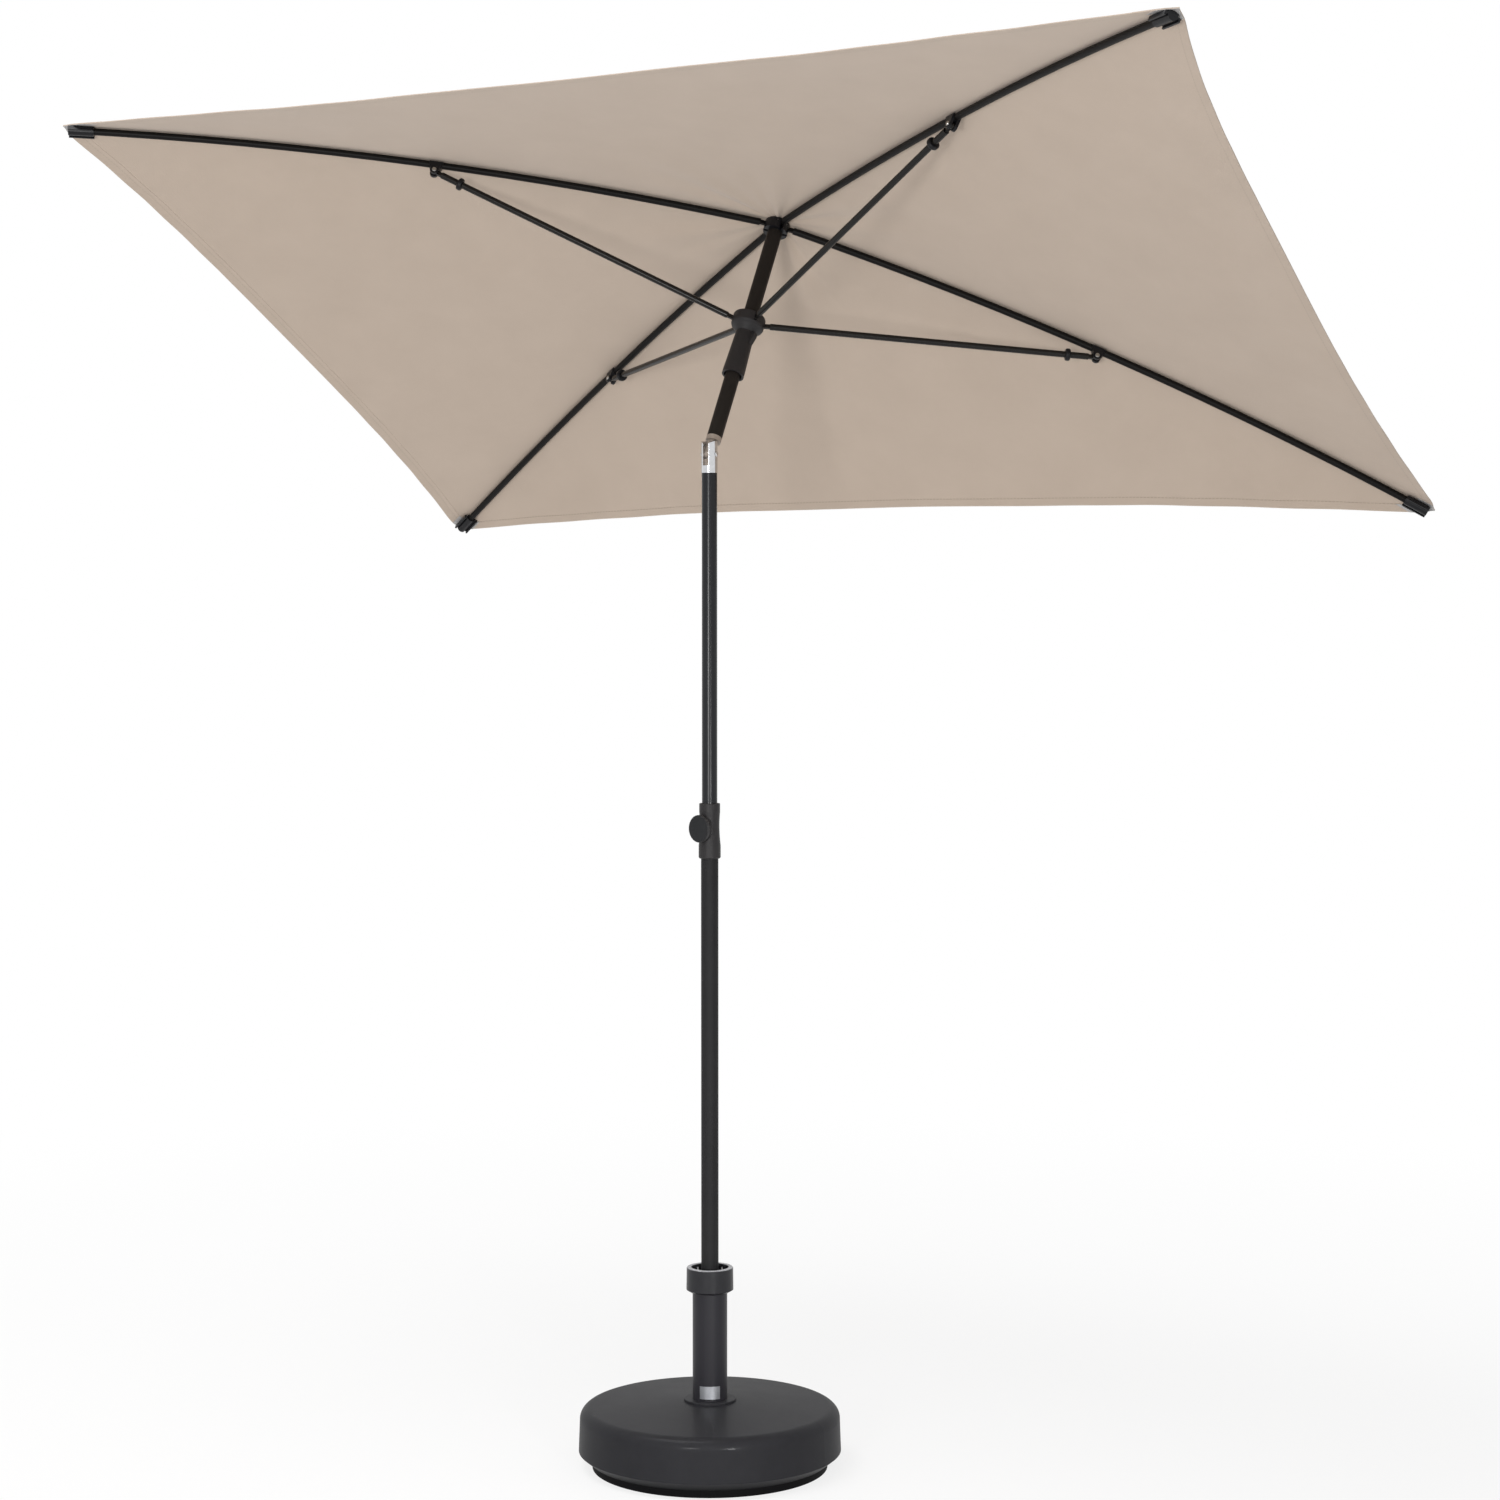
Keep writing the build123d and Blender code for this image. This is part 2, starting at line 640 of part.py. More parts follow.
# The ribs start just outside the hub, on the line from the pivot
rib_start_drop = -1.7
joint_drop = rib_mid_drop + rib_pivot_drop
runner_drop = hub_height - runner_height
stretcher_run = rib_mid_reach - runner_pivot_radius
stretcher_rise = runner_drop - joint_drop
stretcher_length = hypot(stretcher_run, stretcher_rise)
bracket_width = rib_diameter + 4
for corner_name in corners:
    plane = rib_planes[corner_name]
    path = rib_path(plane)
    rib_line = path.line
    start = Plane(origin=rib_line @ 0, z_dir=rib_line % 0)
    finish = Plane(origin=rib_line @ 1, x_dir=plane.z_dir * -1, z_dir=rib_line % 1)

    # Rib: a bowed steel tube with a plugged, flat end that turns on the hub's pin
    with BuildPart() as rib:
        with BuildSketch(start):
            Circle(rib_radius)
            Circle(rib_radius - rib_wall, mode=Mode.SUBTRACT)
        sweep(path=rib_line)
        with BuildSketch(start):
            Circle(rib_radius)
        extrude(amount=-8)
        with BuildSketch(plane):
            with Locations((hub_pivot_radius, 0)):
                Circle(rib_blade_radius)
            with Locations((hub_pivot_radius + 8, -1)):
                Rectangle(16, rib_blade_height)
            with Locations((hub_pivot_radius, 0)):
                Circle(pin_radius + running_gap, mode=Mode.SUBTRACT)
        extrude(amount=blade_thickness / 2, both=True)
    save(rib.part, "rib_" + corner_name)

    # Rib bracket: the clip on the rib that holds the stretcher's rivet
    with BuildPart() as rib_bracket:
        with BuildSketch(plane):
            with BuildLine():
                left = Line((rib_mid_reach - 13, -rib_mid_drop + 5), (rib_mid_reach + 13, -rib_mid_drop + 1))
                right = Line(left @ 1, (rib_mid_reach + 7.5, -joint_drop))
                bow = ThreePointArc(
                    right @ 1,
                    (rib_mid_reach, -joint_drop - 7.5),
                    (rib_mid_reach - 7.5, -joint_drop),
                )
                Line(bow @ 1, left @ 0)
            make_face()
        extrude(amount=bracket_width / 2, both=True)
        with BuildSketch(plane):
            with Locations((rib_mid_reach, -joint_drop - 3 * stretcher_end_radius + 0.6)):
                Rectangle(12 * stretcher_end_radius, 8 * stretcher_end_radius)
        extrude(amount=slot_width / 2, both=True, mode=Mode.SUBTRACT)
        with BuildSketch(start):
            Circle(rib_radius)
        sweep(path=rib_line, mode=Mode.SUBTRACT)
        with BuildSketch(plane):
            with Locations((rib_mid_reach, -joint_drop)):
                Circle(rivet_diameter / 2)
        extrude(amount=bracket_width, both=True, mode=Mode.SUBTRACT)
    save(rib_bracket.part, "rib_bracket_" + corner_name)

    # Rib rivet: the bright rivet through the bracket
    with BuildPart() as rib_rivet:
        with BuildSketch(plane):
            with Locations((rib_mid_reach, -joint_drop)):
                Circle(rivet_diameter / 2)
        extrude(amount=bracket_width / 2, both=True)
        for way in (1, -1):
            with BuildSketch(plane.offset(way * bracket_width / 2)):
                with Locations((rib_mid_reach, -joint_drop)):
                    Circle(rivet_diameter / 2 + 2)
            extrude(amount=way * 1.6, taper=30)
    save(rib_rivet.part, "rib_rivet_" + corner_name)

    # Rib end cap: the plastic clip on the rib's end that holds the fabric's corner
    cap_top = rib_radius - 1
    wing_top = 1
    with BuildPart() as rib_end_cap:
        with BuildSketch(finish.offset(cap_overhang - cap_length)):
            with Locations((0, wing_top - cap_wall / 2)):
                Rectangle(cap_width, cap_wall)
            with Locations((cap_width / 2 - cap_wall / 2, wing_top - cap_lip / 2)):
                Rectangle(cap_wall, cap_lip)
            with Locations((cap_wall / 2 - cap_width / 2, wing_top - cap_lip / 2)):
                Rectangle(cap_wall, cap_lip)
            Circle(rib_radius + 2.5)
            with Locations((0, cap_top + cap_width / 2)):
                Rectangle(2 * cap_width, cap_width, mode=Mode.SUBTRACT)
        extrude(amount=cap_length)
        with BuildSketch(start):
            Circle(rib_radius)
        sweep(path=rib_line, mode=Mode.SUBTRACT)
    save(rib_end_cap.part, "rib_end_cap_" + corner_name)

    # Stretcher: a straight tube from the runner's pin to the rib's rivet, flat at both ends
    stretcher_way = plane.x_dir * (stretcher_run / stretcher_length) + plane.y_dir * (
        stretcher_rise / stretcher_length
    )
    foot_point = plane.from_local_coords(Vector(runner_pivot_radius, -runner_drop, 0))
    bar = Plane(origin=foot_point, x_dir=stretcher_way, z_dir=plane.z_dir)
    along = Plane(origin=foot_point, x_dir=plane.z_dir, z_dir=stretcher_way)
    with BuildPart() as stretcher:
        with BuildSketch(along.offset(15)):
            Circle(stretcher_diameter / 2)
            Circle(stretcher_diameter / 2 - stretcher_wall, mode=Mode.SUBTRACT)
        extrude(amount=stretcher_length - 30)
        with BuildSketch(bar):
            Circle(5)
            with Locations((15, 0)):
                Rectangle(30, stretcher_blade_height)
            Circle(pin_radius + running_gap, mode=Mode.SUBTRACT)
            with Locations((stretcher_length, 0)):
                Circle(stretcher_end_radius)
            with Locations((stretcher_length - 15, 0)):
                Rectangle(30, stretcher_blade_height)
            with Locations((stretcher_length, 0)):
                Circle(rivet_diameter / 2 + open_pivot_gap, mode=Mode.SUBTRACT)
        extrude(amount=blade_thickness / 2, both=True)
    save(stretcher.part, "stretcher_" + corner_name)

    # Stretcher ring: the plastic ring near the stretcher's outer end
    with BuildPart() as stretcher_ring:
        with BuildSketch(along.offset(stretcher_length - ring_from_rivet - ring_thickness / 2)):
            Circle(ring_diameter / 2)
            Circle(stretcher_diameter / 2, mode=Mode.SUBTRACT)
        extrude(amount=ring_thickness)
        fillet(stretcher_ring.edges().filter_by(GeomType.CIRCLE).sort_by(SortBy.RADIUS)[-2:], 3)
    save(stretcher_ring.part, "stretcher_ring_" + corner_name)

# Canopy: four fabric panels. Each curves one way, along the line from the hub to its own edge.
half_length = canopy_length / 2
half_width = canopy_width / 2
corner_reach = hypot(half_length, half_width)
end_slope = (rib_end_drop - rib_mid_drop) / (rib_reach - rib_mid_reach) + 0.048
fabric_corner_drop = rib_end_drop + (corner_reach - rib_reach) * end_slope - fabric_lift
panels = {
    "canopy_right": (head.x_dir, half_length, half_width, short_edge_bow),
    "canopy_left": (head.x_dir * -1, half_length, half_width, short_edge_bow),
    "canopy_far": (head.y_dir, half_width, half_length, long_edge_bow),
    "canopy_near": (head.y_dir * -1, half_width, half_length, long_edge_bow),
}
for panel_name, (outward, reach, half_edge, edge_bow) in panels.items():
    side = Plane(origin=head_point(0, 0, hub_height), x_dir=outward, z_dir=outward.cross(head.z_dir))
    flat = Plane(origin=head_point(0, 0, hub_height), x_dir=outward, z_dir=head.z_dir)
    mid = reach * rib_mid_reach / corner_reach
    with BuildPart() as panel:
        with BuildSketch(side):
            with BuildLine():
                under = ThreePointArc(
                    (0, fabric_lift + 1),
                    (mid, fabric_lift - rib_mid_drop),
                    (reach, -fabric_corner_drop),
                )
                over = ThreePointArc(
                    (0, fabric_lift + 1 + fabric_thickness),
                    (mid, fabric_lift - rib_mid_drop + fabric_thickness),
                    (reach, fabric_thickness - fabric_corner_drop),
                )
                Line(under @ 0, over @ 0)
                Line(under @ 1, over @ 1)
            make_face()
        extrude(amount=half_edge, both=True)
        with BuildSketch(flat):
            with BuildLine():
                hem = ThreePointArc((reach, -half_edge), (reach - edge_bow, 0), (reach, half_edge))
                Line((0, 0), hem @ 0)
                Line((0, 0), hem @ 1)
            make_face()
            Circle(crown_hole_diameter / 2, mode=Mode.SUBTRACT)
        extrude(amount=400, both=True, mode=Mode.INTERSECT)
    save(panel.part, panel_name)

# Top cap: the low plastic dome that holds the fabric on the hub
cap_bottom = hub_height + fabric_lift + 1 + fabric_thickness + 0.4
with BuildPart() as top_cap:
    with BuildSketch(runner_profile):
        with BuildLine():
            dome = ThreePointArc(
                (0, cap_bottom + top_cap_height),
                (top_cap_diameter * 0.3, cap_bottom + top_cap_height * 0.72),
                (top_cap_diameter / 2, cap_bottom + 1.5),
            )
            Polyline(
                dome @ 1,
                (top_cap_diameter / 2, cap_bottom),
                (crown_hole_diameter / 2 - 1, cap_bottom),
                (crown_hole_diameter / 2 - 1, hub_height + hub_above - 4),
                (0, hub_height + hub_above - 4),
                dome @ 0,
            )
        make_face()
    revolve(axis=pole_axis)
save(top_cap.part, "top_cap")
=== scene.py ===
# Patio umbrella with base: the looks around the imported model, in metres, in the row's own frame.
import math

import bpy
import numpy as np
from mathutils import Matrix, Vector


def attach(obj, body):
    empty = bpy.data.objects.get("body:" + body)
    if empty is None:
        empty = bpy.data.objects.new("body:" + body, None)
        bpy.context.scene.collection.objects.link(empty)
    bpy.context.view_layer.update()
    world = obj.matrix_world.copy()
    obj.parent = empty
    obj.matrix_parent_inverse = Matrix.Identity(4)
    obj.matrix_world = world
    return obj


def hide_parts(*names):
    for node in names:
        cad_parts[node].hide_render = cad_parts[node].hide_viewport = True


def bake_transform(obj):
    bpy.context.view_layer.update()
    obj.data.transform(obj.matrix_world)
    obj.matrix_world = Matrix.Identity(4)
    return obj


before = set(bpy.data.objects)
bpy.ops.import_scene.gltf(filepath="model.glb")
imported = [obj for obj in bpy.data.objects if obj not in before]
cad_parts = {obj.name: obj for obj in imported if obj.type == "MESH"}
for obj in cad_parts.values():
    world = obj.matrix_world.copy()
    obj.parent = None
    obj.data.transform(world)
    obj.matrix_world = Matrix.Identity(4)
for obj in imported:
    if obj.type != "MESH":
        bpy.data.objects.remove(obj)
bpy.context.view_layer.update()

# The base's casing is blow-moulded polyethylene with a fine grain in the mould, so it has a soft satin
# glow with a faint mottle and a thin line of light on its rim. The bevel at its foot, which faces the
# ground, is darkened with painted shade. It is a shell over the concrete weight, and the ring round the tube
# is the same plastic.


def hex_colour(code):
    """An sRGB hex code as linear red, green, blue and alpha."""
    parts = np.array([int(code[i : i + 2], 16) for i in (0, 2, 4)]) / 255
    linear = np.where(parts <= 0.04045, parts / 12.92, ((parts + 0.055) / 1.055) ** 2.4)
    return (*map(float, linear), 1.0)


def add(tree, kind, settings=None, links=None):
    """Adds one node, sets its attributes, and fills its inputs from values or from other nodes' outputs."""
    made = tree.nodes.new(kind)
    for name, value in (settings or {}).items():
        setattr(made, name, value)
    for socket, value in (links or {}).items():
        if isinstance(value, bpy.types.NodeSocket):
            tree.links.new(value, made.inputs[socket])
        else:
            made.inputs[socket].default_value = value
    return made


def new_finish(name):
    """An empty node material, ready for its nodes."""
    finish = bpy.data.materials.new(name)
    finish.use_nodes = True
    finish.node_tree.nodes.clear()
    return finish, finish.node_tree


def give(finish, *nodes):
    """Puts a finish on CAD nodes."""
    for name in nodes:
        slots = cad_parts[name].data.materials
        slots.clear()
        slots.append(finish)


casing_finish, tree = new_finish("grained_polyethylene_grey")
place = add(tree, "ShaderNodeTexCoord")
grain = add(tree, "ShaderNodeTexNoise", None,
            {"Vector": place.outputs["Object"], "Scale": 420.0, "Detail": 3.0, "Roughness": 0.6})
mottle = add(tree, "ShaderNodeTexNoise", None,
             {"Vector": place.outputs["Object"], "Scale": 26.0, "Detail": 5.0, "Roughness": 0.62})
tone = add(tree, "ShaderNodeMix", {"data_type": "RGBA"},
           {0: mottle.outputs["Fac"], 6: hex_colour("1f1f22"), 7: hex_colour("28282b")})
level = add(tree, "ShaderNodeSeparateXYZ", None, {0: place.outputs["Object"]})
# Painted shade: the colour darkens towards the foot, down to 0.35 of its tone at 18 mm.
foot_painted_shade = add(tree, "ShaderNodeMapRange", None,
            {"Value": level.outputs["Z"], "From Min": 0.018, "From Max": 0.032,
             "To Min": 0.35, "To Max": 1.0})
foot_shaded_tone = add(tree, "ShaderNodeMix", {"data_type": "RGBA", "blend_type": "MULTIPLY"},
           {0: 1.0, 6: tone.outputs[2], 7: foot_painted_shade.outputs["Result"]})
gloss = add(tree, "ShaderNodeMapRange", None,
            {"Value": mottle.outputs["Fac"], "To Min": 0.5, "To Max": 0.6})
bump = add(tree, "ShaderNodeBump", None,
           {"Height": grain.outputs["Fac"], "Strength": 0.16, "Distance": 0.0006})
shell = add(tree, "ShaderNodeBsdfPrincipled", None,
            {"Base Color": foot_shaded_tone.outputs[2], "Roughness": gloss.outputs["Result"],
             "Normal": bump.outputs["Normal"], "Specular IOR Level": 0.1,
             "Coat Weight": 0.06, "Coat Roughness": 0.16})
add(tree, "ShaderNodeOutputMaterial", None, {"Surface": shell.outputs[0]})
give(casing_finish, "base_casing", "foot_ring")

# The plate under the casing is a black polypropylene disc that stands on the floor. It is dull, with a
# little dust in its grain.
plate_finish, tree = new_finish("dull_polypropylene_black")
place = add(tree, "ShaderNodeTexCoord")
dust = add(tree, "ShaderNodeTexNoise", None,
           {"Vector": place.outputs["Object"], "Scale": 60.0, "Detail": 6.0, "Roughness": 0.7})
tone = add(tree, "ShaderNodeMix", {"data_type": "RGBA"},
           {0: dust.outputs["Fac"], 6: hex_colour("060607"), 7: hex_colour("0f0e10")})
bump = add(tree, "ShaderNodeBump", None,
           {"Height": dust.outputs["Fac"], "Strength": 0.15, "Distance": 0.0005})
dull = add(tree, "ShaderNodeBsdfPrincipled", None,
           {"Base Color": tone.outputs[2], "Roughness": 0.72, "Specular IOR Level": 0.08,
            "Normal": bump.outputs["Normal"]})
add(tree, "ShaderNodeOutputMaterial", None, {"Surface": dull.outputs[0]})
give(plate_finish, "base_plate")

# The weight inside the casing is cast concrete: grey, rough, with pale sand and small pits.
weight_finish, tree = new_finish("cast_concrete")
place = add(tree, "ShaderNodeTexCoord")
sand = add(tree, "ShaderNodeTexNoise", None,
           {"Vector": place.outputs["Object"], "Scale": 120.0, "Detail": 8.0, "Roughness": 0.7})
tone = add(tree, "ShaderNodeMix", {"data_type": "RGBA"},
           {0: sand.outputs["Fac"], 6: hex_colour("77756f"), 7: hex_colour("9b9891")})
bump = add(tree, "ShaderNodeBump", None,
           {"Height": sand.outputs["Fac"], "Strength": 0.5, "Distance": 0.002})
cast = add(tree, "ShaderNodeBsdfPrincipled", None,
           {"Base Color": tone.outputs[2], "Roughness": 0.92, "Normal": bump.outputs["Normal"]})
add(tree, "ShaderNodeOutputMaterial", None, {"Surface": cast.outputs[0]})
give(weight_finish, "base_core")

# The upright tube is extruded plastic, a cooler and smoother grey than the casing, with faint lines along
# it from the die. Its foot is cast into the weight.
tube_finish, tree = new_finish("extruded_plastic_slate")
place = add(tree, "ShaderNodeTexCoord")
stretch = add(tree, "ShaderNodeMapping", None,
              {"Vector": place.outputs["Object"], "Scale": (1.0, 1.0, 0.03)})
lines = add(tree, "ShaderNodeTexNoise", None,
            {"Vector": stretch.outputs["Vector"], "Scale": 300.0, "Detail": 3.0})
tone = add(tree, "ShaderNodeMix", {"data_type": "RGBA"},
           {0: lines.outputs["Fac"], 6: hex_colour("1d1c21"), 7: hex_colour("242328")})
bump = add(tree, "ShaderNodeBump", None,
           {"Height": lines.outputs["Fac"], "Strength": 0.08, "Distance": 0.0004})
drawn = add(tree, "ShaderNodeBsdfPrincipled", None,
            {"Base Color": tone.outputs[2], "Roughness": 0.42, "Specular IOR Level": 0.24,
             "Normal": bump.outputs["Normal"]})
add(tree, "ShaderNodeOutputMaterial", None, {"Surface": drawn.outputs[0]})
give(tube_finish, "base_tube")

# The plate on the tube is thin bare aluminium, rolled and brushed across its width, with nothing on it.
label_finish, tree = new_finish("brushed_aluminium_plate")
place = add(tree, "ShaderNodeTexCoord")
stretch = add(tree, "ShaderNodeMapping", None,
              {"Vector": place.outputs["Object"], "Scale": (1.0, 1.0, 30.0)})
brush = add(tree, "ShaderNodeTexNoise", None,
            {"Vector": stretch.outputs["Vector"], "Scale": 90.0, "Detail": 4.0})
tone = add(tree, "ShaderNodeMix", {"data_type": "RGBA"},
           {0: brush.outputs["Fac"], 6: hex_colour("8f9196"), 7: hex_colour("b6b8bc")})
rough = add(tree, "ShaderNodeMapRange", None,
            {"Value": brush.outputs["Fac"], "To Min": 0.3, "To Max": 0.48})
rolled = add(tree, "ShaderNodeBsdfPrincipled", None,
             {"Base Color": tone.outputs[2], "Metallic": 1.0, "Roughness": rough.outputs["Result"]})
add(tree, "ShaderNodeOutputMaterial", None, {"Surface": rolled.outputs[0]})
give(label_finish, "blank_plate")

# The clamp collar and the reducer inside it are moulded ABS with a polished skin. The collar's flat rim, at
# 347 mm, and the reducer's two webs, from 335 mm up, are painted pale grey as a painted highlight.
for finish_name, dark_below, pale_above, node in (
    ("polished_abs_black", 0.3455, 0.3468, "clamp_collar"),
    ("polished_abs_grey", 0.335, 0.337, "pole_reducer"),
):
    collar_finish, tree = new_finish(finish_name)
    place = add(tree, "ShaderNodeTexCoord")
    flow = add(tree, "ShaderNodeTexNoise", None,
               {"Vector": place.outputs["Object"], "Scale": 55.0, "Detail": 4.0})
    tone = add(tree, "ShaderNodeMix", {"data_type": "RGBA"},
               {0: flow.outputs["Fac"], 6: hex_colour("202023"), 7: hex_colour("28282b")})
    level = add(tree, "ShaderNodeSeparateXYZ", None, {0: place.outputs["Object"]})
    upper = add(tree, "ShaderNodeMapRange", None,
                {"Value": level.outputs["Z"], "From Min": dark_below, "From Max": pale_above})
    # Painted highlight: above the given height the colour turns pale grey.
    pale_rim_highlight = add(tree, "ShaderNodeMix", {"data_type": "RGBA"},
                 {0: upper.outputs["Result"], 6: tone.outputs[2], 7: hex_colour("a4a5a9")})
    rough = add(tree, "ShaderNodeMapRange", None,
                {"Value": flow.outputs["Fac"], "To Min": 0.3, "To Max": 0.4})
    polished = add(tree, "ShaderNodeBsdfPrincipled", None,
                   {"Base Color": pale_rim_highlight.outputs[2], "Roughness": rough.outputs["Result"],
                    "Specular IOR Level": 0.2})
    add(tree, "ShaderNodeOutputMaterial", None, {"Surface": polished.outputs[0]})
    give(collar_finish, node)

# The other black mouldings of the mast are ABS with a fine spark grain, worn a little shinier on high
# spots: the height sleeve, the runner with its latch, and the plugs inside the tubes.
moulded_finish, tree = new_finish("moulded_abs_black")
place = add(tree, "ShaderNodeTexCoord")
grain = add(tree, "ShaderNodeTexNoise", None,
            {"Vector": place.outputs["Object"], "Scale": 700.0, "Detail": 2.0})
wear = add(tree, "ShaderNodeTexNoise", None,
           {"Vector": place.outputs["Object"], "Scale": 45.0, "Detail": 4.0})
tone = add(tree, "ShaderNodeMix", {"data_type": "RGBA"},
           {0: wear.outputs["Fac"], 6: hex_colour("1e1d1e"), 7: hex_colour("282627")})
rough = add(tree, "ShaderNodeMapRange", None,
            {"Value": wear.outputs["Fac"], "To Min": 0.42, "To Max": 0.56})
bump = add(tree, "ShaderNodeBump", None,
           {"Height": grain.outputs["Fac"], "Strength": 0.1, "Distance": 0.0003})
abs_plastic = add(tree, "ShaderNodeBsdfPrincipled", None,
                  {"Base Color": tone.outputs[2], "Roughness": rough.outputs["Result"],
                   "Specular IOR Level": 0.26, "Normal": bump.outputs["Normal"]})
add(tree, "ShaderNodeOutputMaterial", None, {"Surface": abs_plastic.outputs[0]})
give(moulded_finish, "mast_foot_plug", "height_sleeve", "guide_bush", "runner", "runner_latch")

# The height sleeve swells into a boss behind the knob, moulded in one with the sleeve and turned about the
# knob's axis. Its profile goes from the sleeve's wall out to the flat face under the knob.
knob_centre = np.array([0.0, 0.0, 1.108])
knob_way = np.array([-0.25, -0.968, 0.0]) / math.hypot(0.25, 0.968)
knob_across = np.array([-knob_way[1], knob_way[0], 0.0])
upward = np.array([0.0, 0.0, 1.0])


def turned(name, profile, centre, way, across, other, steps=64):
    """A turned surface: each point of the profile (distance along the axis, radius) swept once round."""
    angles = np.linspace(0, math.tau, steps, endpoint=False)
    ring = np.cos(angles)[:, None] * across + np.sin(angles)[:, None] * other
    points = np.array([centre + along * way + radius * ring for along, radius in profile])
    rows = len(profile)
    index = np.arange(rows * steps).reshape(rows, steps)
    quads = np.stack([index[:-1], np.roll(index[:-1], -1, 1), np.roll(index[1:], -1, 1), index[1:]], -1)
    mesh = bpy.data.meshes.new(name)
    mesh.from_pydata(points.reshape(-1, 3).tolist(), [], quads.reshape(-1, 4).tolist())
    mesh.polygons.foreach_set("use_smooth", np.ones(len(mesh.polygons), bool))
    mesh.update()
    piece = bpy.data.objects.new(name, mesh)
    bpy.context.scene.collection.objects.link(piece)
    return piece


boss_profile = [(0.0135, 0.0005), (0.0135, 0.0205), (0.0150, 0.0206), (0.0168, 0.0200), (0.0182, 0.0185),
                (0.0190, 0.0165), (0.0193, 0.0140), (0.0193, 0.0005)]
boss = turned("sleeve_boss", boss_profile, knob_centre, knob_way, knob_across, upward)
boss.data.materials.append(moulded_finish)
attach(boss, "lower_mast")

# The knob is moulded ABS too. Its face, from 27 mm out, is duller than its rim. The rim is painted lighter
# as a painted highlight, and the face is painted darker as painted shade.
knob_finish, tree = new_finish("abs_black_painted_rim_light")
place = add(tree, "ShaderNodeTexCoord")
outwards = add(tree, "ShaderNodeVectorMath", {"operation": "DOT_PRODUCT"},
               {0: place.outputs["Object"], 1: tuple(knob_way)})
face = add(tree, "ShaderNodeMapRange", None,
           {"Value": outwards.outputs["Value"], "From Min": 0.0262, "From Max": 0.0282})
wear = add(tree, "ShaderNodeTexNoise", None,
           {"Vector": place.outputs["Object"], "Scale": 60.0, "Detail": 4.0})
# Painted highlight on the rim and painted shade on the face.
painted_lit_rim_tone = add(tree, "ShaderNodeMix", {"data_type": "RGBA"},
               {0: wear.outputs["Fac"], 6: hex_colour("302f30"), 7: hex_colour("3a393a")})
painted_shade_face_tone = add(tree, "ShaderNodeMix", {"data_type": "RGBA"},
                {0: wear.outputs["Fac"], 6: hex_colour("17181a"), 7: hex_colour("1f2022")})
tone = add(tree, "ShaderNodeMix", {"data_type": "RGBA"},
           {0: face.outputs["Result"], 6: painted_lit_rim_tone.outputs[2], 7: painted_shade_face_tone.outputs[2]})
rough = add(tree, "ShaderNodeMapRange", None,
            {"Value": face.outputs["Result"], "To Min": 0.38, "To Max": 0.55})
rim_lit_abs = add(tree, "ShaderNodeBsdfPrincipled", None,
              {"Base Color": tone.outputs[2], "Roughness": rough.outputs["Result"],
               "Specular IOR Level": 0.2})
add(tree, "ShaderNodeOutputMaterial", None, {"Surface": rim_lit_abs.outputs[0]})
give(knob_finish, "height_knob")

# The tubes are drawn steel with a powder coat. The coat's orange peel is about 2 mm across and very
# shallow. The mast's outer tube and the ribs are matt. The inner tube and the stretchers are glossy, with
# a line of light along them, and the inner tube has the smoothest coat.
for finish_name, low, high, roughness, shine, peel_strength, nodes in (
    ("powder_coat_anthracite", "202021", "272728", 0.5, 0.09, 0.02, ("lower_mast_tube",)),
    ("powder_coat_iron_grey", "1b1c1e", "222326", 0.24, 0.2, 0.003, ("upper_mast_tube",)),
    ("powder_coat_soot", "1f1c1a", "26221f", 0.45, 0.1, 0.02, ("canopy_pole",)),
    ("powder_coat_black", "0f0e0e", "161413", 0.42, 0.1, 0.02, ("rib_a", "rib_b", "rib_c", "rib_d")),
    ("gloss_coat_black", "151312", "1c1a18", 0.24, 0.2, 0.02,
     ("stretcher_a", "stretcher_b", "stretcher_c", "stretcher_d")),
):
    coat_finish, tree = new_finish(finish_name)
    place = add(tree, "ShaderNodeTexCoord")
    peel = add(tree, "ShaderNodeTexNoise", None,
               {"Vector": place.outputs["Object"], "Scale": 480.0, "Detail": 1.5})
    drift = add(tree, "ShaderNodeTexNoise", None,
                {"Vector": place.outputs["Object"], "Scale": 14.0, "Detail": 4.0})
    tone = add(tree, "ShaderNodeMix", {"data_type": "RGBA"},
               {0: drift.outputs["Fac"], 6: hex_colour(low), 7: hex_colour(high)})
    bump = add(tree, "ShaderNodeBump", None,
               {"Height": peel.outputs["Fac"], "Strength": peel_strength, "Distance": 0.0004})
    coat = add(tree, "ShaderNodeBsdfPrincipled", None,
               {"Base Color": tone.outputs[2], "Roughness": roughness, "Specular IOR Level": shine,
                "Normal": bump.outputs["Normal"]})
    add(tree, "ShaderNodeOutputMaterial", None, {"Surface": coat.outputs[0]})
    give(coat_finish, *nodes)

# The tilt joint's sleeve is chrome-plated steel, polished, with faint handling marks in its gloss.
chrome_finish, tree = new_finish("chrome_plated_steel")
place = add(tree, "ShaderNodeTexCoord")
marks = add(tree, "ShaderNodeTexNoise", None,
            {"Vector": place.outputs["Object"], "Scale": 160.0, "Detail": 5.0})
rough = add(tree, "ShaderNodeMapRange", None,
            {"Value": marks.outputs["Fac"], "To Min": 0.08, "To Max": 0.2})
tone = add(tree, "ShaderNodeMix", {"data_type": "RGBA"},
           {0: marks.outputs["Fac"], 6: hex_colour("c3c4c6"), 7: hex_colour("d9dadc")})
chrome = add(tree, "ShaderNodeBsdfPrincipled", None,
             {"Base Color": tone.outputs[2], "Metallic": 1.0, "Roughness": rough.outputs["Result"]})
add(tree, "ShaderNodeOutputMaterial", None, {"Surface": chrome.outputs[0]})
give(chrome_finish, "tilt_sleeve", "tilt_pin")

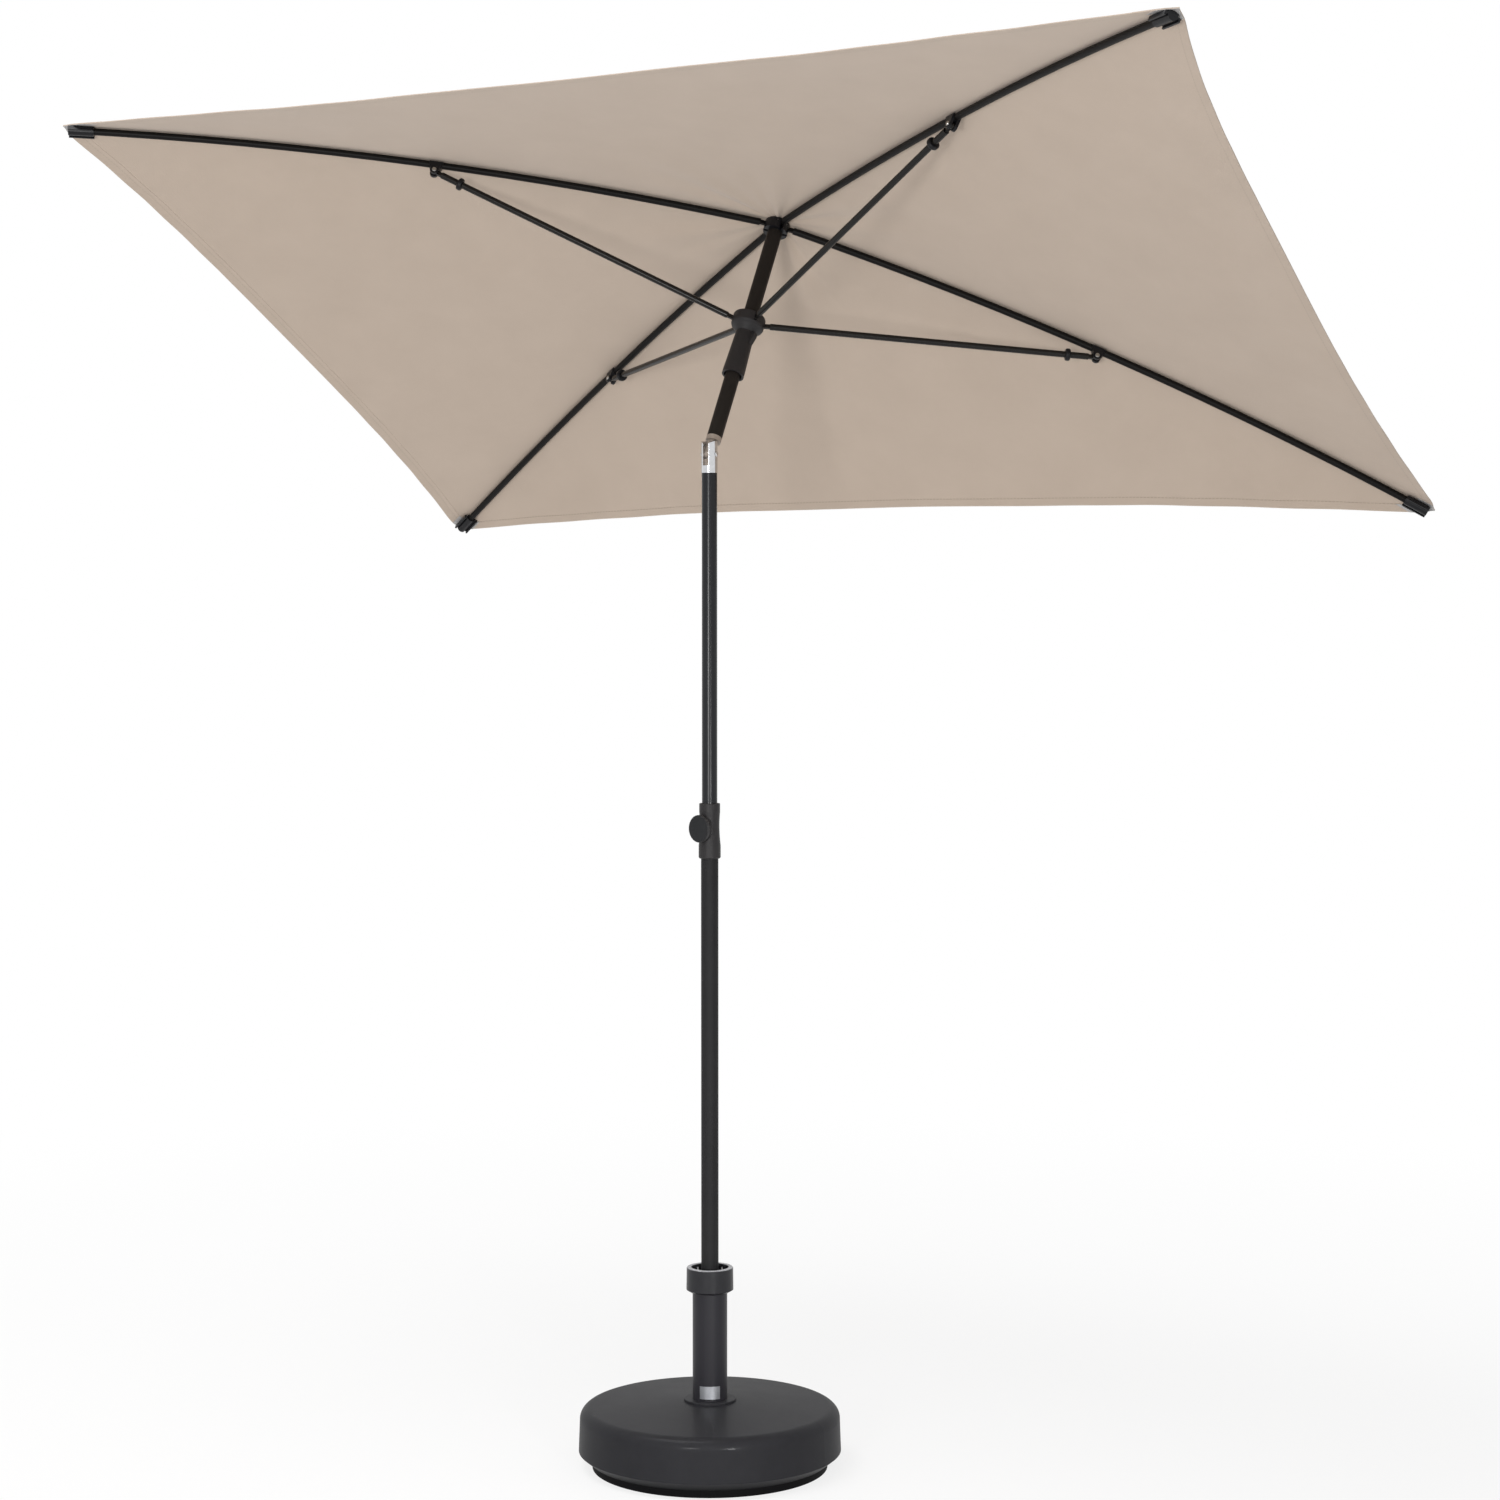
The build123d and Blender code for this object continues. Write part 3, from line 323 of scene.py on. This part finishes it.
# The tilt button, the screw and its nut, the hub's and runner's pins and the rivets are zinc-plated steel:
# grey, satin, a little cloudy.
zinc_finish, tree = new_finish("zinc_plated_steel")
place = add(tree, "ShaderNodeTexCoord")
cloud = add(tree, "ShaderNodeTexNoise", None,
            {"Vector": place.outputs["Object"], "Scale": 220.0, "Detail": 4.0})
tone = add(tree, "ShaderNodeMix", {"data_type": "RGBA"},
           {0: cloud.outputs["Fac"], 6: hex_colour("9a9895"), 7: hex_colour("b9b7b3")})
rough = add(tree, "ShaderNodeMapRange", None,
            {"Value": cloud.outputs["Fac"], "To Min": 0.28, "To Max": 0.42})
zinc = add(tree, "ShaderNodeBsdfPrincipled", None,
           {"Base Color": tone.outputs[2], "Metallic": 1.0, "Roughness": rough.outputs["Result"]})
add(tree, "ShaderNodeOutputMaterial", None, {"Surface": zinc.outputs[0]})
give(zinc_finish, "tilt_button", "knob_screw", "sleeve_nut", "hub_pins", "runner_pins")
give(zinc_finish, "rib_rivet_a", "rib_rivet_b", "rib_rivet_c", "rib_rivet_d")

# The hub, the cap above it, the ribs' brackets and end caps and the stretchers' rings are nylon filled with
# glass, a deeper black than the ABS, with a cold tint and a slight shine on its edges.
nylon_finish, tree = new_finish("glass_filled_nylon_black")
place = add(tree, "ShaderNodeTexCoord")
fibre = add(tree, "ShaderNodeTexNoise", None,
            {"Vector": place.outputs["Object"], "Scale": 380.0, "Detail": 3.0})
tone = add(tree, "ShaderNodeMix", {"data_type": "RGBA"},
           {0: fibre.outputs["Fac"], 6: hex_colour("0f0f12"), 7: hex_colour("17171a")})
rough = add(tree, "ShaderNodeMapRange", None,
            {"Value": fibre.outputs["Fac"], "To Min": 0.28, "To Max": 0.42})
nylon = add(tree, "ShaderNodeBsdfPrincipled", None,
            {"Base Color": tone.outputs[2], "Roughness": rough.outputs["Result"],
             "Specular IOR Level": 0.22})
add(tree, "ShaderNodeOutputMaterial", None, {"Surface": nylon.outputs[0]})
give(nylon_finish, "hub", "top_cap")
for corner in "abcd":
    give(nylon_finish, "rib_bracket_" + corner, "rib_end_cap_" + corner, "stretcher_ring_" + corner)

# The tilt joint's knuckle is a zinc alloy casting, tumbled matt, with a warm grey surface.
cast_finish, tree = new_finish("cast_zinc_alloy")
place = add(tree, "ShaderNodeTexCoord")
skin = add(tree, "ShaderNodeTexNoise", None,
           {"Vector": place.outputs["Object"], "Scale": 300.0, "Detail": 4.0})
tone = add(tree, "ShaderNodeMix", {"data_type": "RGBA"},
           {0: skin.outputs["Fac"], 6: hex_colour("94897f"), 7: hex_colour("a69b91")})
bump = add(tree, "ShaderNodeBump", None,
           {"Height": skin.outputs["Fac"], "Strength": 0.2, "Distance": 0.0004})
casting = add(tree, "ShaderNodeBsdfPrincipled", None,
              {"Base Color": tone.outputs[2], "Metallic": 0.55, "Roughness": 0.5,
               "Normal": bump.outputs["Normal"]})
add(tree, "ShaderNodeOutputMaterial", None, {"Surface": casting.outputs[0]})
give(cast_finish, "tilt_knuckle")

# The canopy is woven polyester, sewn from four panels along the ribs and stretched over them, with hollow
# outer edges, a folded hem and pockets at the corners. Each quarter holds one rib's corner and hides the CAD
# panels under it, and the quarters meet on the canopy's middle lines.
hinge = np.array([0.0, 0.0, 1.750])
tilt = math.radians(29.5)
pole_way = np.array([0.0, math.sin(tilt), math.cos(tilt)])
slope_way = np.array([0.0, math.cos(tilt), -math.sin(tilt)])
side_way = np.array([1.0, 0.0, 0.0])
half_length = 1.050
half_width = 0.686
hub_height = 0.475
corner_reach = math.hypot(half_length, half_width)
rib_turn = math.atan2(half_width, half_length)
crown_rise = 0.0103
middle_reach = 0.606
middle_drop = 0.0592
corner_drop = 0.1983
near_bow = 0.040
far_bow = 0.033
right_bow = 0.046
left_bow = 0.030
tip_round = 0.022
tip_draw = 0.0075
sag_depth = 0.006
crease_depth = 0.0021
corner_pull = 0.0022


def from_pole(x, y, z):
    """A point given along the canopy's long side, its short side and the pole, in the row's frame."""
    return hinge + x[..., None] * side_way + y[..., None] * slope_way + z[..., None] * pole_way


# The arc through the crown, a rib's bracket and a corner: its centre and radius from three points.
span = np.array([[0.0, crown_rise], [middle_reach, -middle_drop], [corner_reach, -corner_drop]])
lhs = 2 * (span[1:] - span[0])
rhs = (span[1:] ** 2).sum(1) - (span[0] ** 2).sum()
arc_centre = np.linalg.solve(lhs, rhs)
arc_radius = float(np.hypot(*(span[0] - arc_centre)))


def cloth_height(x, y):
    """Height of the stretched cloth above the hub's pivots: an arc of the distance towards the nearer
    edge, lowered a little between the ribs, with small creases that run out from the crown."""
    across = np.abs(x) / half_length
    along = np.abs(y) / half_width
    reach = np.maximum(across, along)
    height = arc_centre[1] + np.sqrt(arc_radius**2 - (reach * corner_reach - arc_centre[0]) ** 2)
    between = 1 - (np.minimum(across, along) / np.maximum(reach, 1e-6)) ** 2
    sag = sag_depth * np.sin(math.pi * np.clip(reach, 0, 1)) * between
    turn = np.arctan2(y, x)
    spread = np.hypot(x, y)
    near_crown = np.exp(-((spread - 0.13) / 0.15) ** 2)
    crease = crease_depth * near_crown * (np.cos(9 * turn + 0.4) + 0.8 * np.cos(16 * turn + 1.9))
    near_corner = np.exp(-((1 - reach) / 0.22) ** 2) * (1 - between)
    pull = corner_pull * near_corner * np.cos(40 * (across - along))
    slack = 0.0016 * np.sin(5.1 * x + 1.3) * np.sin(7.3 * y + 0.6) + 0.0009 * np.sin(13 * x - 8 * y)
    return hub_height + height - sag + (crease + pull + slack * np.clip(reach * 3, 0, 1)) * between


def edge_point(turn, short_bow, short_power, long_bow):
    """The hollow outer edge from the middle of the short side (0) round the corner (0.5) to the middle of
    the long side (1): each half runs along its side and bows inwards by a power of the distance from its
    middle, and the tip is drawn in along the rib by a bell curve of the distance from the corner."""
    first = turn <= 0.5
    y = np.where(first, half_width * turn / 0.5, 0)
    x = np.where(first, 0, half_length * (1 - turn) / 0.5)
    right = half_length - short_bow * (1 - (y / half_width) ** short_power)
    far = half_width - long_bow * (1 - (x / half_length) ** 2)
    from_corner = np.where(first, half_width - y, half_length - x)
    drawn_in = 1 - tip_draw * np.exp(-((from_corner / tip_round) ** 2))
    return np.where(first, right, x) * drawn_in, np.where(first, y, far) * drawn_in


def sheet_mesh(name, points, maps):
    """A grid of points as a smooth quad mesh, with its UV maps."""
    rows, columns = points.shape[:2]
    index = np.arange(rows * columns).reshape(rows, columns)
    quads = np.stack([index[:-1, :-1], index[1:, :-1], index[1:, 1:], index[:-1, 1:]], -1).reshape(-1, 4)
    mesh = bpy.data.meshes.new(name)
    mesh.from_pydata(points.reshape(-1, 3).tolist(), [], quads.tolist())
    for map_name, values in maps.items():
        layer = mesh.uv_layers.new(name=map_name)
        layer.data.foreach_set("uv", values.reshape(-1, 2)[quads.reshape(-1)].astype(np.float32).reshape(-1))
    mesh.polygons.foreach_set("use_smooth", np.ones(len(quads), bool))
    mesh.update()
    piece = bpy.data.objects.new(name, mesh)
    bpy.context.scene.collection.objects.link(piece)
    return piece


def thicken(piece, thickness):
    """Gives a sheet its cloth's thickness, half to each side, and a sharp cut edge."""
    thick = piece.modifiers.new("cloth_thickness", "SOLIDIFY")
    thick.thickness = thickness
    thick.offset = 0
    piece.modifiers.new("sharp_rim", "EDGE_SPLIT").split_angle = math.radians(60)


# Woven polyester: matt, with a slight sheen at low angles. The real thread pitch, about 0.4 mm, is too
# fine to show, so the weave is drawn at 3 mm. The hem and the seams are doubled cloth, and a row of
# lockstitch runs round the hem.
cloth_finish, tree = new_finish("woven_polyester_taupe")
flat_map = add(tree, "ShaderNodeUVMap", {"uv_map": "cloth"})
hem_map = add(tree, "ShaderNodeUVMap", {"uv_map": "hem"})
seam_map = add(tree, "ShaderNodeUVMap", {"uv_map": "seam"})
weave_pitch = 0.003
wave_node_factor = 20
weave_turns = math.tau / weave_pitch / wave_node_factor
warp = add(tree, "ShaderNodeTexWave", {"wave_type": "BANDS", "bands_direction": "X"},
           {"Vector": flat_map.outputs[0], "Scale": weave_turns})
weft = add(tree, "ShaderNodeTexWave", {"wave_type": "BANDS", "bands_direction": "Y"},
           {"Vector": flat_map.outputs[0], "Scale": weave_turns})
weave = add(tree, "ShaderNodeMath", {"operation": "MULTIPLY"},
            {0: warp.outputs["Fac"], 1: weft.outputs["Fac"]})
slub = add(tree, "ShaderNodeTexNoise", None,
           {"Vector": flat_map.outputs[0], "Scale": 9.0, "Detail": 6.0, "Roughness": 0.6})
tone = add(tree, "ShaderNodeMix", {"data_type": "RGBA"},
           {0: slub.outputs["Fac"], 6: hex_colour("b2a293"), 7: hex_colour("bdad9e")})
hem_split = add(tree, "ShaderNodeSeparateXYZ", None, {0: hem_map.outputs[0]})
seam_split = add(tree, "ShaderNodeSeparateXYZ", None, {0: seam_map.outputs[0]})
hem_band = add(tree, "ShaderNodeMath", {"operation": "LESS_THAN"}, {0: hem_split.outputs[1], 1: 0.018})
seam_band = add(tree, "ShaderNodeMath", {"operation": "LESS_THAN"}, {0: seam_split.outputs[1], 1: 0.010})
double = add(tree, "ShaderNodeMath", {"operation": "MAXIMUM"},
             {0: hem_band.outputs[0], 1: seam_band.outputs[0]})
doubled = add(tree, "ShaderNodeMix", {"data_type": "RGBA", "blend_type": "MULTIPLY"},
              {0: double.outputs[0], 6: tone.outputs[2], 7: (0.985, 0.984, 0.982, 1)})
stitch_row = add(tree, "ShaderNodeMath", {"operation": "COMPARE"},
                 {0: hem_split.outputs[1], 1: 0.0155, 2: 0.0008})
stitch_step = add(tree, "ShaderNodeMath", {"operation": "PINGPONG"}, {0: hem_split.outputs[0], 1: 0.0035})
stitch_on = add(tree, "ShaderNodeMath", {"operation": "LESS_THAN"}, {0: stitch_step.outputs[0], 1: 0.0024})
stitch = add(tree, "ShaderNodeMath", {"operation": "MULTIPLY"},
             {0: stitch_row.outputs[0], 1: stitch_on.outputs[0]})
sewn = add(tree, "ShaderNodeMix", {"data_type": "RGBA"},
           {0: stitch.outputs[0], 6: doubled.outputs[2], 7: hex_colour("ab9c8d")})
lift = add(tree, "ShaderNodeMath", {"operation": "MULTIPLY_ADD"},
           {0: double.outputs[0], 1: 1.5, 2: weave.outputs[0]})
sink = add(tree, "ShaderNodeMath", {"operation": "SUBTRACT"}, {0: lift.outputs[0], 1: stitch.outputs[0]})
bump = add(tree, "ShaderNodeBump", None,
           {"Height": sink.outputs[0], "Strength": 0.2, "Distance": 0.0007})
woven = add(tree, "ShaderNodeBsdfPrincipled", None,
            {"Base Color": sewn.outputs[2], "Roughness": 0.88, "Normal": bump.outputs["Normal"],
             "Sheen Weight": 0.18, "Sheen Roughness": 0.5})
add(tree, "ShaderNodeOutputMaterial", None, {"Surface": woven.outputs[0]})

# The pockets' lining is polyester with a pale grey coating on it, smoother and cooler than the cloth.
lining_finish, tree = new_finish("coated_polyester_grey")
flat_map = add(tree, "ShaderNodeUVMap", {"uv_map": "cloth"})
film = add(tree, "ShaderNodeTexNoise", None,
           {"Vector": flat_map.outputs[0], "Scale": 180.0, "Detail": 4.0})
tone = add(tree, "ShaderNodeMix", {"data_type": "RGBA"},
           {0: film.outputs["Fac"], 6: hex_colour("93918f"), 7: hex_colour("bdbbba")})
coated = add(tree, "ShaderNodeBsdfPrincipled", None, {"Base Color": tone.outputs[2], "Roughness": 0.45})
add(tree, "ShaderNodeOutputMaterial", None, {"Surface": coated.outputs[0]})

hem_rows = 9
pocket_rows = 14
pocket_columns = 9
tip_columns = 6
corner_signs = {"a": (-1, -1), "b": (1, -1), "c": (1, 1), "d": (-1, 1)}
short_powers = {"a": 3.0, "b": 4.2, "c": 2.5, "d": 3.0}
out_steps = np.concatenate([np.linspace(0.012, 0.965, 84), np.linspace(0.968, 1.0, 12)])
close_steps = 0.06 * np.linspace(0, 1, 13) ** 1.6
turn_steps = np.concatenate([np.linspace(0, 0.44, 34), 0.5 - close_steps[:-1][::-1], 0.5 + close_steps[1:],
                             np.linspace(0.56, 1, 35)[1:]])
out_grid, turn_grid = np.meshgrid(out_steps, turn_steps, indexing="ij")
for corner, (sign_x, sign_y) in corner_signs.items():
    edge_x, edge_y = edge_point(turn_grid, right_bow if sign_x > 0 else left_bow, short_powers[corner],
                                near_bow if sign_y < 0 else far_bow)
    x = out_grid * edge_x
    y = out_grid * edge_y
    hem_along = np.where(turn_grid <= 0.5, y, corner_reach + half_length - x)
    hem_inset = (1 - out_grid) * np.where(turn_grid <= 0.5, edge_x, edge_y)
    seam_across = np.abs(x * math.sin(rib_turn) - y * math.cos(rib_turn))
    seam_along = x * math.cos(rib_turn) + y * math.sin(rib_turn)
    maps = {
        "cloth": np.stack([sign_x * x, sign_y * y], -1),
        "hem": np.stack([hem_along, hem_inset], -1),
        "seam": np.stack([seam_along, seam_across], -1),
    }
    x = sign_x * x
    y = sign_y * y
    points = from_pole(x, y, cloth_height(x, y))
    if sign_x * sign_y < 0:
        points = points[:, ::-1]
        maps = {key: value[:, ::-1] for key, value in maps.items()}
    quarter = sheet_mesh("canopy_quarter_" + corner, points, maps)
    quarter.data.materials.append(cloth_finish)
    thicken(quarter, 0.0012)
    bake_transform(quarter)
    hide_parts("canopy_near" if sign_y < 0 else "canopy_far",
                "canopy_right" if sign_x > 0 else "canopy_left")

    # The hem is the quarter's outer band, 16 to 24 mm wide, turned under and sewn down on the side that
    # faces the ground.
    hem_points = points[-hem_rows:] - 0.0008 * pole_way
    hem = sheet_mesh("canopy_hem_" + corner, hem_points,
                     {key: value[-hem_rows:] for key, value in maps.items()})
    hem.data.materials.append(cloth_finish)
    thicken(hem, 0.0005)
    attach(hem, "rib_body_" + corner)

    # The pocket is a doubled patch over the corner that takes the end of the rib.
    half = points.shape[1] // 2
    patch = slice(half - pocket_columns, half + pocket_columns + 1)
    pocket_points = points[-pocket_rows:, patch] + 0.0008 * pole_way
    pocket = sheet_mesh("canopy_pocket_" + corner, pocket_points,
                        {key: value[-pocket_rows:, patch] for key, value in maps.items()})
    pocket.data.materials.append(cloth_finish)
    thicken(pocket, 0.0006)
    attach(pocket, "rib_body_" + corner)

    # The pocket's tip is lined with pale coated cloth, which shows round the end of the rib's cap.
    lining = slice(half - tip_columns, half + tip_columns + 1)
    tip = sheet_mesh("canopy_tip_" + corner, points[-hem_rows:, lining] - 0.0014 * pole_way,
                     {key: value[-hem_rows:, lining] for key, value in maps.items()})
    tip.data.materials.append(lining_finish)
    thicken(tip, 0.0005)
    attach(tip, "rib_body_" + corner)

# The floor is a pale studio floor that fades to white away from the base, under a white surround that gives
# soft light from all sides.
floor_mesh = bpy.data.meshes.new("floor")
floor_reach = 40.0
floor_corners = [(-floor_reach, -floor_reach, 0), (floor_reach, -floor_reach, 0),
                 (floor_reach, floor_reach, 0), (-floor_reach, floor_reach, 0)]
floor_mesh.from_pydata(floor_corners, [], [(0, 1, 2, 3)])
floor = bpy.data.objects.new("floor", floor_mesh)
bpy.context.scene.collection.objects.link(floor)
floor_finish, tree = new_finish("pale_studio_floor")
rays = add(tree, "ShaderNodeLightPath")
looked = add(tree, "ShaderNodeMath", {"operation": "MAXIMUM"},
             {0: rays.outputs["Is Camera Ray"], 1: rays.outputs["Is Transmission Ray"]})
seen = add(tree, "ShaderNodeMath", {"operation": "MAXIMUM"},
           {0: looked.outputs[0], 1: rays.outputs["Is Glossy Ray"]})
matt = add(tree, "ShaderNodeBsdfDiffuse", None, {"Color": (0.9, 0.9, 0.9, 1)})
glow = add(tree, "ShaderNodeEmission", None, {"Color": (1, 1, 1, 1), "Strength": 1.0})
place = add(tree, "ShaderNodeTexCoord")
far_off = add(tree, "ShaderNodeVectorMath", {"operation": "LENGTH"}, {0: place.outputs["Object"]})
fade = add(tree, "ShaderNodeMapRange", {"interpolation_type": "SMOOTHSTEP"},
           {"Value": far_off.outputs["Value"], "From Min": 0.6, "From Max": 4.0,
            "To Min": 0.8, "To Max": 1.0})
share = add(tree, "ShaderNodeMath", {"operation": "MULTIPLY"},
            {0: seen.outputs[0], 1: fade.outputs["Result"]})
mixed = add(tree, "ShaderNodeMixShader", None, {0: share.outputs[0], 1: matt.outputs[0], 2: glow.outputs[0]})
add(tree, "ShaderNodeOutputMaterial", None, {"Surface": mixed.outputs[0]})
floor_mesh.materials.append(floor_finish)

world = bpy.data.worlds.new("studio")
bpy.context.scene.world = world
world.use_nodes = True
tree = world.node_tree
tree.nodes.clear()
rays = add(tree, "ShaderNodeLightPath")
looked = add(tree, "ShaderNodeMath", {"operation": "MAXIMUM"},
             {0: rays.outputs["Is Camera Ray"], 1: rays.outputs["Is Transmission Ray"]})
direct = add(tree, "ShaderNodeMath", {"operation": "MAXIMUM"},
             {0: looked.outputs[0], 1: rays.outputs["Is Glossy Ray"]})
soft = add(tree, "ShaderNodeBackground", None, {"Color": (1, 1, 1, 1), "Strength": 0.52})
white = add(tree, "ShaderNodeBackground", None, {"Color": (1, 1, 1, 1), "Strength": 1.0})
sky = add(tree, "ShaderNodeMixShader", None, {0: direct.outputs[0], 1: soft.outputs[0], 2: white.outputs[0]})
add(tree, "ShaderNodeOutputWorld", None, {"Surface": sky.outputs[0]})

# The front lamp stands left of the camera, so the pole and stretchers throw soft shadows to the right on
# the cloth. The overhead lamp lights the canopy's outside and the floor. The low lamp, narrowed to keep it
# off the cloth, lights the knob's side and draws a line of light on the base's rim.
for lamp_name, lamp_place, lamp_aim, lamp_size, lamp_power, lamp_spread in (
    ("front_lamp", (1.35, -5.30, 1.35), (0.0, 0.0, 1.7), 1.0, 105.0, 180.0),
    ("overhead_lamp", (-0.8, -1.2, 5.2), (0.0, 0.0, 1.2), 2.6, 150.0, 180.0),
    ("low_lamp", (2.95, -2.70, 0.75), (0.0, 0.0, 0.35), 0.5, 4.5, 50.0),
):
    lamp_data = bpy.data.lights.new(lamp_name, "AREA")
    lamp_data.size = lamp_size
    lamp_data.energy = lamp_power
    lamp_data.spread = math.radians(lamp_spread)
    lamp = bpy.data.objects.new(lamp_name, lamp_data)
    lamp.location = lamp_place
    lamp.rotation_euler = (Vector(lamp_aim) - Vector(lamp_place)).to_track_quat("-Z", "Y").to_euler()
    bpy.context.scene.collection.objects.link(lamp)

# The camera stands where the photograph was taken from, fitted on the canopy's corners, the mast and the
# base. Its focal length is in pixels of the photograph's width.
picture_width = 1500
focal_pixels = 3087.8
sensor_width = 36.0
look_down = 2.4495
heading = 30.06
camera_data = bpy.data.cameras.new("camera")
camera_data.sensor_width = sensor_width
camera_data.lens = focal_pixels / picture_width * sensor_width
camera_data.clip_end = 200.0
camera = bpy.data.objects.new("camera", camera_data)
camera.location = (2.7174, -4.5567, 1.4695)
camera.rotation_euler = (math.radians(90 - look_down), 0.0, math.radians(heading))
bpy.context.scene.collection.objects.link(camera)
bpy.context.scene.camera = camera
bpy.context.scene.view_settings.view_transform = "Standard"
